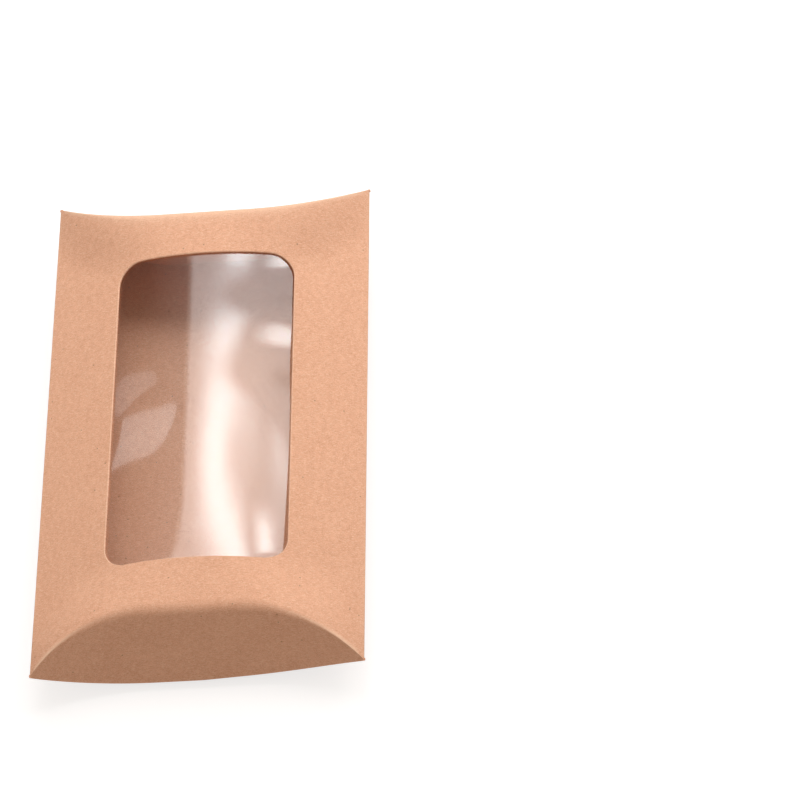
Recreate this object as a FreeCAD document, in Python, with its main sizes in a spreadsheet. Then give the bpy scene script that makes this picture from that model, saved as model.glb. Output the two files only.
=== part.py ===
import FreeCAD, Part
import os

import Sketcher

# Pillow box of thin kraft card: two bowed panels that meet in side folds, a clear film behind a
# window, a glued seam and two curved flaps at each end. It lies on its back panel: X runs across
# the box, Y along it, Z up through the window, and the origin is under the middle of the back.

SIZES = {
    # outside of the box
    "box_length": 125,
    "box_width": 75,
    "bow": 11,
    "crown_flat": 20,
    "end_set_back": 10.4,
    # sheets and glue
    "card": 0.45,
    "film": 0.15,
    "glue": 0.1,
    # window and its film
    "window_side_margin": 17,
    "window_end_margin": 22.25,
    "window_corner": 5.5,
    "film_lap": 7,
    "film_gap": 0.05,
    "glue_inset": 1.5,
    # side folds and the seam tab
    "fold_width": 1.5,
    "fold_round": 0.35,
    "tab_width": 11,
    "tab_fold_gap": 0.5,
    "tab_end_gap": 14.5,
    # end flaps
    "outer_lean": 25,
    "inner_lean": 27,
    "outer_short": 1.1,
    "inner_short": 1.5,
    "inner_corner_cut": 5,
    "crease_gap": 0.25,
}

doc = FreeCAD.newDocument("pillow_box")
sheet = doc.addObject("Spreadsheet::Sheet", "Sizes")
for row, (alias, number) in enumerate(SIZES.items(), start=1):
    sheet.set(f"A{row}", alias)
    sheet.set(f"B{row}", str(number))
    sheet.setAlias(f"B{row}", alias)
doc.recompute()


def size(alias):
    """Expression that reads one size."""
    return f"Sizes.{alias}"


def value(expression):
    """Present number of an expression."""
    return float(sheet.evalExpression(expression))


def arc_radius(rise):
    """Radius of the arc that falls from the crown's flat to the side edge over a given rise."""
    run = f"({HALF_WIDTH} - {HALF_FLAT})"
    return f"(({run} * {run} + ({rise}) * ({rise})) / (2 * ({rise})))"


HALF_WIDTH = f"({size('box_width')} / 2)"
HALF_LENGTH = f"({size('box_length')} / 2)"
HALF_FLAT = f"({size('crown_flat')} / 2)"
BOW = size("bow")
CARD = size("card")
SHELL_RADIUS = arc_radius(BOW)
PANEL_HALF = f"({HALF_WIDTH} - {size('fold_width')})"
WINDOW_HALF_X = f"({HALF_WIDTH} - {size('window_side_margin')})"
WINDOW_HALF_Y = f"({HALF_LENGTH} - {size('window_end_margin')})"
FILM_HALF_X = f"({WINDOW_HALF_X} + {size('film_lap')})"
FILM_HALF_Y = f"({WINDOW_HALF_Y} + {size('film_lap')})"
# thicknesses of card that the root of a leaning flap takes up beside its panel
OUTER_ROOT_SHEETS = 1.2
INNER_ROOT_SHEETS = 3.4
OUTER_ROOM = f"({CARD} * {OUTER_ROOT_SHEETS} + {size('crease_gap')})"
INNER_ROOM = f"({CARD} * {INNER_ROOT_SHEETS} + {size('crease_gap')})"
OUTER_REACH = f"(2 * {BOW} - {size('outer_short')})"
INNER_REACH = f"(2 * {BOW} - {CARD} - {size('inner_short')})"


class Profile:
    """A sketch whose points and arcs are all placed by expressions."""

    def __init__(self, body, name, plane):
        self.sketch = body.newObject("Sketcher::SketchObject", name)
        origin = {feature.Role: feature for feature in body.Origin.OriginFeatures}
        self.sketch.AttachmentSupport = [(origin[plane], "")]
        self.sketch.MapMode = "FlatFace"

    def _drive(self, kind, geometry, point, expression):
        """Tie one coordinate of a point to an expression."""
        number = value(expression)
        index = self.sketch.addConstraint(Sketcher.Constraint(kind, -1, 1, geometry, point, number))
        self.sketch.setExpression(f"Constraints[{index}]", expression)

    def arc(self, centre, radius, ends, side):
        """Arc between two x positions on the upper (side 1) or lower (side -1) half of a circle."""
        middle = FreeCAD.Vector(value(centre[0]), value(centre[1]), 0)
        reach = value(radius)
        marks = []
        for x in ends:
            across = value(x) - middle.x
            marks.append(middle + FreeCAD.Vector(across, side * (reach**2 - across**2) ** 0.5, 0))
        half_way = (marks[0] + marks[1]) / 2 - middle
        half_way.normalize()
        shape = Part.Arc(marks[0], middle + half_way * reach, marks[1])
        geometry = self.sketch.addGeometry(shape, False)
        first, last = 1, 2
        start = self.sketch.getPoint(geometry, 1)
        if start.distanceToPoint(marks[0]) > start.distanceToPoint(marks[1]):
            first, last = 2, 1
        self._drive("DistanceX", geometry, 3, centre[0])
        self._drive("DistanceY", geometry, 3, centre[1])
        index = self.sketch.addConstraint(Sketcher.Constraint("Radius", geometry, reach))
        self.sketch.setExpression(f"Constraints[{index}]", radius)
        self._drive("DistanceX", geometry, first, ends[0])
        self._drive("DistanceX", geometry, last, ends[1])
        return (geometry, first), (geometry, last)

    def line(self, start, end):
        """Line between two points that are already placed."""
        marks = [self.sketch.getPoint(*start), self.sketch.getPoint(*end)]
        geometry = self.sketch.addGeometry(Part.LineSegment(*marks), False)
        self.sketch.addConstraint(Sketcher.Constraint("Coincident", geometry, 1, *start))
        self.sketch.addConstraint(Sketcher.Constraint("Coincident", geometry, 2, *end))

    def chain(self, points):
        """Run of lines through points, each given by two expressions; returns its two ends."""
        marks = [FreeCAD.Vector(value(x), value(y), 0) for x, y in points]
        lines = []
        for start, end in zip(marks, marks[1:]):
            lines.append(self.sketch.addGeometry(Part.LineSegment(start, end), False))
        for before, after in zip(lines, lines[1:]):
            self.sketch.addConstraint(Sketcher.Constraint("Coincident", before, 2, after, 1))
        places = [(lines[0], 1)] + [(each, 2) for each in lines]
        for place, (x, y) in zip(places, points):
            self._drive("DistanceX", *place, x)
            self._drive("DistanceY", *place, y)
        return places[0], places[-1]

    def polygon(self, points):
        """Closed outline of straight sides."""
        start, end = self.chain(points)
        self.line(end, start)

    def crown(self, top, radius, half, side=1):
        """Bowed line: a flat crown with an arc down to x = -half and x = half; returns its ends."""
        height = f"({top} - {side} * {radius})"
        left = self.arc((f"-{HALF_FLAT}", height), radius, (f"-{half}", f"-{HALF_FLAT}"), side)
        right = self.arc((HALF_FLAT, height), radius, (HALF_FLAT, half), side)
        self.line(left[1], right[0])
        return left[0], right[1]

    def strip(self, top, radius, thick, half, side=1):
        """Bowed strip of one thickness, cut off upright at both sides."""
        outer = self.crown(top, radius, half, side)
        inner = self.crown(f"({top} - {side} * {thick})", f"({radius} - {thick})", half, side)
        self.line(outer[0], inner[0])
        self.line(outer[1], inner[1])

    def corner(self, start, end, radius, centre):
        """Round corner between two placed points, about a known centre."""
        marks = [self.sketch.getPoint(*start), self.sketch.getPoint(*end)]
        middle = FreeCAD.Vector(value(centre[0]), value(centre[1]), 0)
        out = (marks[0] + marks[1]) / 2 - middle
        out.normalize()
        shape = Part.Arc(marks[0], middle + out * value(radius), marks[1])
        geometry = self.sketch.addGeometry(shape, False)
        ends = [1, 2]
        if self.sketch.getPoint(geometry, 1).distanceToPoint(marks[0]) > value(radius) / 2:
            ends.reverse()
        self.sketch.addConstraint(Sketcher.Constraint("Coincident", geometry, ends[0], *start))
        self.sketch.addConstraint(Sketcher.Constraint("Coincident", geometry, ends[1], *end))
        index = self.sketch.addConstraint(Sketcher.Constraint("Radius", geometry, value(radius)))
        self.sketch.setExpression(f"Constraints[{index}]", radius)

    def rounded_slot(self, half_x, half_y, radius):
        """Rectangle with round corners about the origin."""
        inset_x = f"({half_x} - {radius})"
        inset_y = f"({half_y} - {radius})"
        sides = [
            self.chain([(f"-{inset_x}", half_y), (inset_x, half_y)]),
            self.chain([(half_x, inset_y), (half_x, f"-{inset_y}")]),
            self.chain([(inset_x, f"-{half_y}"), (f"-{inset_x}", f"-{half_y}")]),
            self.chain([(f"-{half_x}", f"-{inset_y}"), (f"-{half_x}", inset_y)]),
        ]
        centres = [
            (inset_x, inset_y),
            (inset_x, f"-{inset_y}"),
            (f"-{inset_x}", f"-{inset_y}"),
            (f"-{inset_x}", inset_y),
        ]
        for number, centre in enumerate(centres):
            after = sides[(number + 1) % len(sides)]
            self.corner(sides[number][1], after[0], radius, centre)

    def end_cut(self, end, room):
        """Outline outside the curved crease at one end, set back by the room for its flap."""
        depth = size("end_set_back")
        edge = f"({HALF_LENGTH} - {room})"
        sign = "" if end > 0 else "-"
        top = f"({sign}({edge} - {depth}))"
        curve = self.crown(top, arc_radius(depth), HALF_WIDTH, -end)
        far = f"({sign}({HALF_LENGTH} * 1.2))"
        near = f"({sign}{edge})"
        outside = f"({HALF_WIDTH} * 1.1)"
        left = [(f"-{outside}", near), (f"-{outside}", far)]
        right = [(outside, far), (outside, near)]
        start, finish = self.chain(left + right)
        self.line(start, curve[0])
        self.line(finish, curve[1])


def new_body(name):
    """Empty body with its label."""
    body = doc.addObject("PartDesign::Body", name)
    body.Label = name
    return body


def pad(body, name, profile, length):
    """Pad a profile by half the length to each side of its plane."""
    feature = body.newObject("PartDesign::Pad", name)
    feature.Profile = profile.sketch
    feature.SideType = "Symmetric"
    feature.setExpression("Length", length)
    doc.recompute()
    return feature


def pocket(body, name, profile, length):
    """Pocket a profile by half the length to each side of its plane; it has to remove material."""
    before = body.Shape.Volume
    feature = body.newObject("PartDesign::Pocket", name)
    feature.Profile = profile.sketch
    feature.SideType = "Symmetric"
    feature.setExpression("Length", length)
    doc.recompute()
    if body.Shape.Volume >= before:
        raise RuntimeError(f"{name} removed nothing")
    return feature


def raise_to_middle(body, turned):
    """Move a body to the plane of the side folds, turned over if it belongs to the back."""
    turn = FreeCAD.Rotation(FreeCAD.Vector(0, 1, 0), 180 if turned else 0)
    body.Placement = FreeCAD.Placement(FreeCAD.Vector(0, 0, 0), turn)
    body.setExpression("Placement.Base.z", BOW)


def bowed_sheet(name, depth, thick, half_x, half_y, turned=False):
    """Sheet bowed like the panels, its upper face a given depth under the outside of the box."""
    body = new_body(name)
    section = Profile(body, f"{name}_section", "XZ_Plane")
    section.strip(f"({BOW} - {depth})", f"({SHELL_RADIUS} - {depth})", thick, half_x)
    pad(body, f"{name}_sheet", section, f"2 * {half_y}")
    raise_to_middle(body, turned)
    return body


def panel(name, room, turned):
    """Panel with both ends cut along the curved creases."""
    body = bowed_sheet(name, "0", CARD, PANEL_HALF, HALF_LENGTH, turned)
    for end, where in ((-1, "lower"), (1, "upper")):
        outline = Profile(body, f"{name}_{where}_crease", "XY_Plane")
        outline.end_cut(end, room)
        pocket(body, f"{name}_{where}_cut", outline, f"4 * {BOW}")
    return body


def window_cut(body, grow, corner):
    """Cut the window through a sheet, made larger all round by the given amount."""
    outline = Profile(body, f"{body.Name}_window", "XY_Plane")
    outline.rounded_slot(f"({WINDOW_HALF_X} + {grow})", f"({WINDOW_HALF_Y} + {grow})", corner)
    pocket(body, f"{body.Name}_opening", outline, f"4 * {BOW}")


def side_fold(name, side):
    """Scored fold along one side: two short legs of card that meet in a rounded edge."""
    body = new_body(name)
    across = f"({PANEL_HALF} - {HALF_FLAT})"
    centre = f"({BOW} - {SHELL_RADIUS})"
    within = f"({SHELL_RADIUS} - {CARD})"
    high = f"({centre} + sqrt({SHELL_RADIUS} * {SHELL_RADIUS} - {across} * {across}))"
    low = f"({centre} + sqrt({within} * {within} - {across} * {across}))"
    crotch = f"({HALF_FLAT} + sqrt({within} * {within} - {centre} * {centre}))"
    sign = "" if side > 0 else "-"
    section = Profile(body, f"{name}_section", "XZ_Plane")
    section.polygon(
        [
            (f"{sign}{PANEL_HALF}", high),
            (f"{sign}{HALF_WIDTH}", "0"),
            (f"{sign}{PANEL_HALF}", f"-{high}"),
            (f"{sign}{PANEL_HALF}", f"-{low}"),
            (f"{sign}{crotch}", "0"),
            (f"{sign}{PANEL_HALF}", low),
        ]
    )
    strip = pad(body, f"{name}_strip", section, f"2 * {HALF_LENGTH}")
    tip = value(HALF_WIDTH)
    edges = []
    for number, edge in enumerate(strip.Shape.Edges, start=1):
        if abs(abs(edge.CenterOfMass.x) - tip) < 1e-4 and edge.Length > tip:
            edges.append(f"Edge{number}")
    rounding = body.newObject("PartDesign::Fillet", f"{name}_round")
    rounding.Base = (strip, edges)
    rounding.setExpression("Radius", size("fold_round"))
    doc.recompute()
    for end, where in ((-1, "lower"), (1, "upper")):
        outline = Profile(body, f"{name}_{where}_corner", "XY_Plane")
        outline.end_cut(end, size("crease_gap"))
        pocket(body, f"{name}_{where}_cut", outline, f"4 * {BOW}")
    raise_to_middle(body, False)
    return body


def seam_strip(name, depth, thick):
    """Strip along the left side of the back panel, a given depth inside the box."""
    body = new_body(name)
    start = f"({PANEL_HALF} - {size('tab_fold_gap')})"
    stop = f"({start} - {size('tab_width')})"
    radius = f"({SHELL_RADIUS} - {depth})"
    centre = (HALF_FLAT, f"({BOW} - {SHELL_RADIUS})")
    section = Profile(body, f"{name}_section", "XZ_Plane")
    upper = section.arc(centre, radius, (stop, start), 1)
    lower = section.arc(centre, f"({radius} - {thick})", (stop, start), 1)
    section.line(upper[0], lower[0])
    section.line(upper[1], lower[1])
    pad(body, f"{name}_strip", section, f"2 * ({HALF_LENGTH} - {size('tab_end_gap')})")
    raise_to_middle(body, True)
    return body


def box_envelope():
    """Solid the size of the outside of the box, which trims the roots of the flaps."""
    body = new_body("envelope")
    section = Profile(body, "envelope_section", "XZ_Plane")
    section.crown(BOW, SHELL_RADIUS, HALF_WIDTH, 1)
    section.crown(f"(-{BOW})", SHELL_RADIUS, HALF_WIDTH, -1)
    pad(body, "envelope_block", section, f"4 * {HALF_LENGTH}")
    raise_to_middle(body, False)
    return body


def flap(name, end, up, lean, reach, half, envelope):
    """End flap: a bowed sheet that leaves its crease at a lean and ends in an arc.

    end is 1 at the upper end of the box and -1 at the lower one; up is 1 for a flap of the front
    panel and -1 for one of the back panel.
    """
    inward = "-" if end > 0 else ""
    depth = size("end_set_back")
    in_line = f"({depth} * cos({lean}) - {up} * {BOW} * sin({lean}))"
    crease = f"({depth} * sin({lean}) + {up} * {BOW} * cos({lean}))"
    tip = f"({crease} - {up} * {reach})"
    body = new_body(f"{name}_blank")
    section = Profile(body, f"{name}_section", "XY_Plane")
    top = f"({inward}({in_line} + {CARD}))"
    section.strip(top, f"({arc_radius(in_line)} + {CARD})", CARD, half, -end)
    pad(body, f"{name}_sheet", section, f"8 * {BOW}")
    edge = Profile(body, f"{name}_edge", "YZ_Plane")
    edge.polygon(
        [
            (f"({inward}(-0.2 * {in_line}))", f"(-0.2 * {tip})"),
            (f"({inward}(2 * {in_line}))", f"(2 * {tip})"),
            (f"({inward}(2 * {in_line}))", f"(-{up} * 5 * {BOW})"),
            (f"({inward}(-0.2 * {in_line}))", f"(-{up} * 5 * {BOW})"),
        ]
    )
    pocket(body, f"{name}_trim", edge, f"4 * {HALF_WIDTH}")
    turn = FreeCAD.Rotation(FreeCAD.Vector(end, 0, 0), value(lean))
    body.Placement = FreeCAD.Placement(FreeCAD.Vector(0, 0, 0), turn)
    body.setExpression("Placement.Base.y", f"{end} * {HALF_LENGTH}")
    body.setExpression("Placement.Base.z", BOW)
    body.setExpression("Placement.Rotation.Angle", lean)
    piece = doc.addObject("Part::Common", name)
    piece.Label = name
    piece.Base = body
    piece.Tool = envelope
    return piece


def end_flaps(end, where, envelope):
    """Both flaps of one end: the back panel's is folded in first, the front panel's covers it."""
    outer_half = f"({PANEL_HALF} - {size('crease_gap')})"
    inner_half = f"({HALF_WIDTH} - {size('inner_corner_cut')})"
    outer = flap(f"{where}_outer_flap", end, 1, size("outer_lean"), OUTER_REACH, outer_half, envelope)
    inner = flap(f"{where}_inner_flap", end, -1, size("inner_lean"), INNER_REACH, inner_half, envelope)
    return [outer, inner]


def write_pieces(pieces):
    """Check every object, then write one file for each piece."""
    doc.recompute()
    for item in doc.Objects:
        if "Invalid" in item.State or "Error" in item.State:
            raise RuntimeError(f"{item.Name} did not build")
    os.makedirs("parts", exist_ok=True)
    for piece in pieces:
        shape = piece.Shape
        if shape.isNull() or not shape.isValid() or len(shape.Solids) != 1:
            raise RuntimeError(f"{piece.Label} is not one valid solid")
        shape.exportStep(f"parts/{piece.Label}.step")


front = panel("front_panel", OUTER_ROOM, False)
window_cut(front, "0", size("window_corner"))
back = panel("back_panel", INNER_ROOM, True)

under_glue = f"({CARD} + {size('glue')})"
film_glue = bowed_sheet("window_glue", CARD, size("glue"), FILM_HALF_X, FILM_HALF_Y)
window_cut(film_glue, size("glue_inset"), size("window_corner"))
film_depth = f"({under_glue} + {size('film_gap')})"
window_film = bowed_sheet("window_film", film_depth, size("film"), FILM_HALF_X, FILM_HALF_Y)

seam_glue = seam_strip("seam_glue", CARD, size("glue"))
seam_tab = seam_strip("seam_tab", under_glue, CARD)
folds = [side_fold("left_fold", -1), side_fold("right_fold", 1)]

outside = box_envelope()
flaps = end_flaps(-1, "lower", outside) + end_flaps(1, "upper", outside)

write_pieces([front, back, film_glue, window_film, seam_glue, seam_tab] + folds + flaps)
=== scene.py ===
"""Looks of a kraft pillow box with a film window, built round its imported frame, in metres."""

import logging
import math
from abc import ABC, abstractmethod
from collections.abc import Callable, Sequence
from dataclasses import dataclass
from enum import Enum

import bmesh
import bpy
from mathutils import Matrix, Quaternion, Vector


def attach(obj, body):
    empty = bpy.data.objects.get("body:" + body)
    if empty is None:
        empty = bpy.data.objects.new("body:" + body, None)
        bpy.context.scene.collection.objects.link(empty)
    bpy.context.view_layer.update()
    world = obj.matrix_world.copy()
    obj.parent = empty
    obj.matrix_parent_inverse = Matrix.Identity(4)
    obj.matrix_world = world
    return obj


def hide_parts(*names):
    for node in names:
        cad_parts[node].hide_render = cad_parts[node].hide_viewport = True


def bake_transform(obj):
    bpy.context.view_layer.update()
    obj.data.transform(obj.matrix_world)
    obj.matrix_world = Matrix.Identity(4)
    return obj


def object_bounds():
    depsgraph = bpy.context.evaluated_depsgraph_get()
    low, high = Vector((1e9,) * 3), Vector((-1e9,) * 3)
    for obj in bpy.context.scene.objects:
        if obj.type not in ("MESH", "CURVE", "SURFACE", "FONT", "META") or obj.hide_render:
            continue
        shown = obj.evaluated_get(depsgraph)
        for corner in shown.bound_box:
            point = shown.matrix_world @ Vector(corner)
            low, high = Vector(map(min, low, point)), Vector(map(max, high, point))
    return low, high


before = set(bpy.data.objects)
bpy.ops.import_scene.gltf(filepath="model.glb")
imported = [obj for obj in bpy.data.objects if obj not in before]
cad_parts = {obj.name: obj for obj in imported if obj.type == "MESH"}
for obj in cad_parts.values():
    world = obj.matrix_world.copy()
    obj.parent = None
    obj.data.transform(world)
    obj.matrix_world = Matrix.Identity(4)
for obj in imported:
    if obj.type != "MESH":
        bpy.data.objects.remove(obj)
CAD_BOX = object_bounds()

MM = 0.001
HALF_MM = 0.5 * MM
CARD = 0.45 * MM
MERGE_WITHIN = 0.0005 * MM
NOISE_MEAN = 0.5
UNIT_HALF = 0.5
LIGHT_WALL = (0.0, 0.42, 0.684)
FLAT_MAP = "Blank"
WEAR_AND_HIGHLIGHT = "wear_and_highlight"
RIM_WEAR_AND_HIGHLIGHT = "rim_wear_and_highlight"
Colour = tuple[float, float, float, float]
Outline = tuple[tuple[float, float], ...]
Placer = Callable[[float, float], tuple[float, float]]

log = logging.getLogger("pillow_box")


class Side(Enum):
    """The two panels of the box."""

    FRONT = 1
    BACK = -1


class End(Enum):
    """The two ends of the box, by the sign of Y."""

    LOWER = -1
    UPPER = 1


def fold_line(solid_edge: float) -> float:
    """Place of a fold line: the half millimetre next beyond the edge of the solids."""
    return math.ceil(solid_edge / HALF_MM) * HALF_MM


HALF_WIDTH = fold_line(CAD_BOX[1][0])
HALF_LENGTH = fold_line(CAD_BOX[1][1])
BOW = CAD_BOX[1][2] / 2


def srgb(red: int, green: int, blue: int) -> Colour:
    """Linear colour of a screen colour.

    Args:
        red: Red from 0 to 255.
        green: Green from 0 to 255.
        blue: Blue from 0 to 255.

    Returns:
        Linear red, green, blue and a full alpha.
    """
    shares = [channel / 255 for channel in (red, green, blue)]
    linear = [s / 12.92 if s <= 0.04045 else ((s + 0.055) / 1.055) ** 2.4 for s in shares]
    return (linear[0], linear[1], linear[2], 1.0)


def soft_step(edge: float, full: float, at: float) -> float:
    """Smooth rise from 0 at edge to 1 at full."""
    share = min(1.0, max(0.0, (at - edge) / (full - edge)))
    return share * share * (3 - 2 * share)


def bell(off: float) -> float:
    """Bell curve: 1 at 0 and nearly 0 beyond 2."""
    return math.exp(-off * off)


def soft_fold(past: float, soft: float) -> tuple[float, float]:
    """Share out a run across a fold between the two sheets that meet there.

    Args:
        past: Distance along the card from the fold line, negative before it.
        soft: Half length of card that the rounding of the fold takes up.

    Returns:
        The run left on the first sheet, zero or negative, and the run on the second sheet.
    """
    if past <= -soft:
        return past, 0.0
    if past >= soft:
        return 0.0, past
    return -((soft - past) ** 2) / (4 * soft), (soft + past) ** 2 / (4 * soft)


class Shade:
    """A shader socket that takes part in Python arithmetic."""

    def __init__(self, graph: "Graph", socket: bpy.types.NodeSocket) -> None:
        """Wrap a socket of a graph."""
        self.graph = graph
        self.socket = socket

    def _math(self, operation: str, first: "Feed", second: "Feed") -> "Shade":
        """Add one Math node and return its value."""
        return self.graph.add("ShaderNodeMath", {"operation": operation}, {0: first, 1: second})

    def __add__(self, other: "Feed") -> "Shade":
        """Sum."""
        return self._math("ADD", self, other)

    def __radd__(self, other: "Feed") -> "Shade":
        """Sum with a number on the left."""
        return self._math("ADD", other, self)

    def __sub__(self, other: "Feed") -> "Shade":
        """Difference."""
        return self._math("SUBTRACT", self, other)

    def __rsub__(self, other: "Feed") -> "Shade":
        """Difference from a number on the left."""
        return self._math("SUBTRACT", other, self)

    def __mul__(self, other: "Feed") -> "Shade":
        """Product."""
        return self._math("MULTIPLY", self, other)

    def __rmul__(self, other: "Feed") -> "Shade":
        """Product with a number on the left."""
        return self._math("MULTIPLY", other, self)

    def rise(self, edge: float, full: float) -> "Shade":
        """Smooth rise of the value.

        Args:
            edge: The value that gives 0.
            full: The value that gives 1.

        Returns:
            The rise.
        """
        settings = {"interpolation_type": "SMOOTHSTEP"}
        inputs = {"Value": self, "From Min": edge, "From Max": full}
        return self.graph.add("ShaderNodeMapRange", settings, inputs)

    def larger(self, other: "Feed") -> "Shade":
        """The larger of two values."""
        return self._math("MAXIMUM", self, other)

    def power(self, exponent: "Feed") -> "Shade":
        """The value raised to a power."""
        return self._math("POWER", self, exponent)


Feed = Shade | float | Sequence[float]


class Graph:
    """The node tree of one material or world."""

    SPECK_CORE = 0.4
    DRAW_STEP = 0.001

    def __init__(self, tree: bpy.types.NodeTree) -> None:
        """Start from an empty tree."""
        self.tree = tree
        tree.nodes.clear()

    def add(
        self,
        kind: str,
        settings: dict[str, object] | None = None,
        inputs: dict[str | int, Feed] | None = None,
        output: str | int = 0,
    ) -> Shade:
        """Add a node.

        Args:
            kind: The node's type.
            settings: Its settings, which are set first.
            inputs: The value or link of each socket, by name or number.
            output: The socket to return, by name or number.

        Returns:
            The chosen output.
        """
        node = self.tree.nodes.new(kind)
        for name, setting in (settings or {}).items():
            setattr(node, name, setting)
        for key, feed in (inputs or {}).items():
            if isinstance(feed, Shade):
                self.tree.links.new(feed.socket, node.inputs[key])
            else:
                node.inputs[key].default_value = feed
        return Shade(self, node.outputs[output])

    def noise(
        self,
        place: Shade,
        grain: float,
        detail: float = 2.0,
        stretch: float = 1.0,
        turn: float = 0.0,
    ) -> Shade:
        """Cloudy noise around 0.5.

        Args:
            place: Position on the piece, in metres.
            grain: Size of one cloud, in metres.
            detail: Finer layers in the clouds.
            stretch: Length of a cloud as a multiple of its width.
            turn: Direction in which it is stretched, in degrees.

        Returns:
            The noise.
        """
        inputs = {
            "Vector": place,
            "Rotation": (0.0, 0.0, math.radians(turn)),
            "Scale": (1 / (grain * stretch), 1 / grain, 1 / grain),
        }
        mapped = self.add("ShaderNodeMapping", {}, inputs)
        settings = {"noise_dimensions": "3D"}
        return self.add("ShaderNodeTexNoise", settings, {"Vector": mapped, "Scale": 1.0, "Detail": detail})

    def specks(self, place: Shade, pitch: float, radius: float, share: float) -> Shade:
        """Sparse round specks.

        Args:
            place: Position on the piece, in metres.
            pitch: Distance between places that may hold a speck, in metres.
            radius: Radius of a speck, in metres.
            share: Share of the places that hold one.

        Returns:
            1 in a speck and 0 elsewhere.
        """
        scaled = self.add("ShaderNodeMapping", {}, {"Vector": place, "Scale": (1 / pitch,) * 3})
        inputs = {"Vector": scaled, "Scale": 1.0, "Randomness": 1.0}
        settings = {"voronoi_dimensions": "2D", "feature": "F1"}
        cells = self.add("ShaderNodeTexVoronoi", settings, inputs)
        near = 1 - cells.rise(self.SPECK_CORE * radius / pitch, radius / pitch)
        chance = Shade(self, cells.socket.node.outputs["Color"])
        drawn = self.add("ShaderNodeSeparateColor", {}, {"Color": chance})
        return near * drawn.rise(1 - share - self.DRAW_STEP, 1 - share)

    def scaled(self, colour: Feed, factor: Feed) -> Shade:
        """A colour made lighter or darker by a factor."""
        parts = colour if isinstance(colour, Shade) else colour[:3]
        return self.add("ShaderNodeVectorMath", {"operation": "SCALE"}, {0: parts, "Scale": factor})

    def mixed(self, factor: Feed, first: Feed, second: Feed) -> Shade:
        """A colour between two others."""
        return self.add("ShaderNodeMix", {"data_type": "RGBA"}, {0: factor, 6: first, 7: second}, 2)

    def surface(self, shader: Shade) -> None:
        """Show a shader on the material's surface."""
        self.add_output("ShaderNodeOutputMaterial", shader)

    def add_output(self, kind: str, shader: Shade) -> None:
        """Add an output node and link a shader to it."""
        node = self.tree.nodes.new(kind)
        self.tree.links.new(shader.socket, node.inputs["Surface"])


def new_material(name: str) -> tuple[bpy.types.Material, Graph]:
    """Empty material.

    Args:
        name: The material's name.

    Returns:
        The material and its graph.
    """
    material = bpy.data.materials.new(name)
    material.use_nodes = True
    return material, Graph(material.node_tree)


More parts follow.
